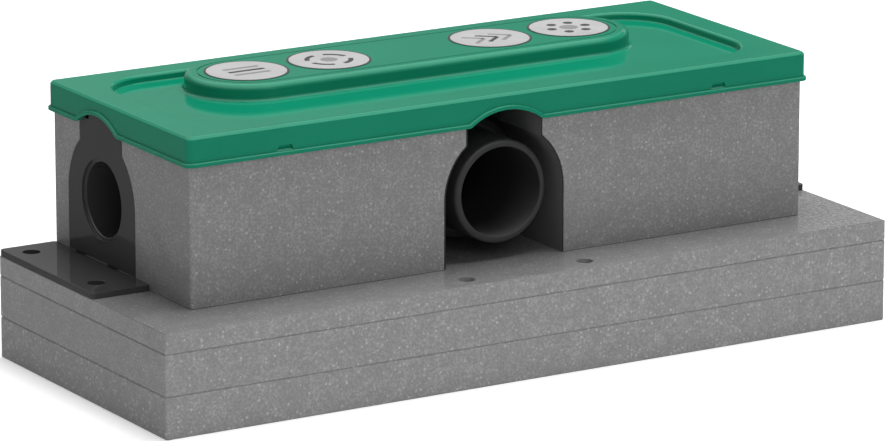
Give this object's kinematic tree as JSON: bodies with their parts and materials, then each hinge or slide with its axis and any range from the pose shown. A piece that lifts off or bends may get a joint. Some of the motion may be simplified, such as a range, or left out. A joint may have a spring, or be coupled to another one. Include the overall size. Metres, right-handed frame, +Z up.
{
  "type": "shower drain body",
  "caption": "Low foam-cased shower drain body on a slab base, with keyhole doorways, a pipe outlet to the front, closing brackets and a lift-off moulded lid over the inlet trough.",
  "frame": {"origin": "centre of the underside of the foam base", "axes": "+X along the length of the drain, +Y towards the wall behind it (the outlet points to -Y), +Z up"},
  "size_m": [0.396, 0.1659, 0.1358],
  "materials": {
    "foam": "grey moulded bead foam with pale flecks",
    "black_plastic": "black moulded polypropylene, satin",
    "grey_plastic": "dark grey moulded polypropylene",
    "seal_rubber": "black rubber",
    "bracket_plastic": "glossy dark grey moulding",
    "lid_plastic": "glossy green moulding",
    "label_film": "printed film label"
  },
  "bodies": {
    "drain": {"lower_spacer": "foam", "upper_spacer": "foam", "base_plate": "foam", "foam_block": "foam", "channel_liner": "black_plastic", "drain_trough": "black_plastic", "trap_pot": "black_plastic", "outlet_pipe": "black_plastic", "trap_cup": "grey_plastic", "trap_tube": "grey_plastic", "hair_sieve": "grey_plastic", "pot_seal": "seal_rubber", "outlet_seal": "seal_rubber", "trap_seal": "seal_rubber", "left_bracket": "bracket_plastic", "right_bracket": "bracket_plastic"},
    "lid": {"protective_lid": "lid_plastic", "label_outer_left": "label_film", "label_inner_left": "label_film", "label_inner_right": "label_film", "label_outer_right": "label_film"}
  },
  "joints": [
    {"name": "lid_lift", "type": "slide", "parent": "drain", "child": "lid", "axis": [0, 0, 1], "range_m": [0, 0.06]}
  ]
}
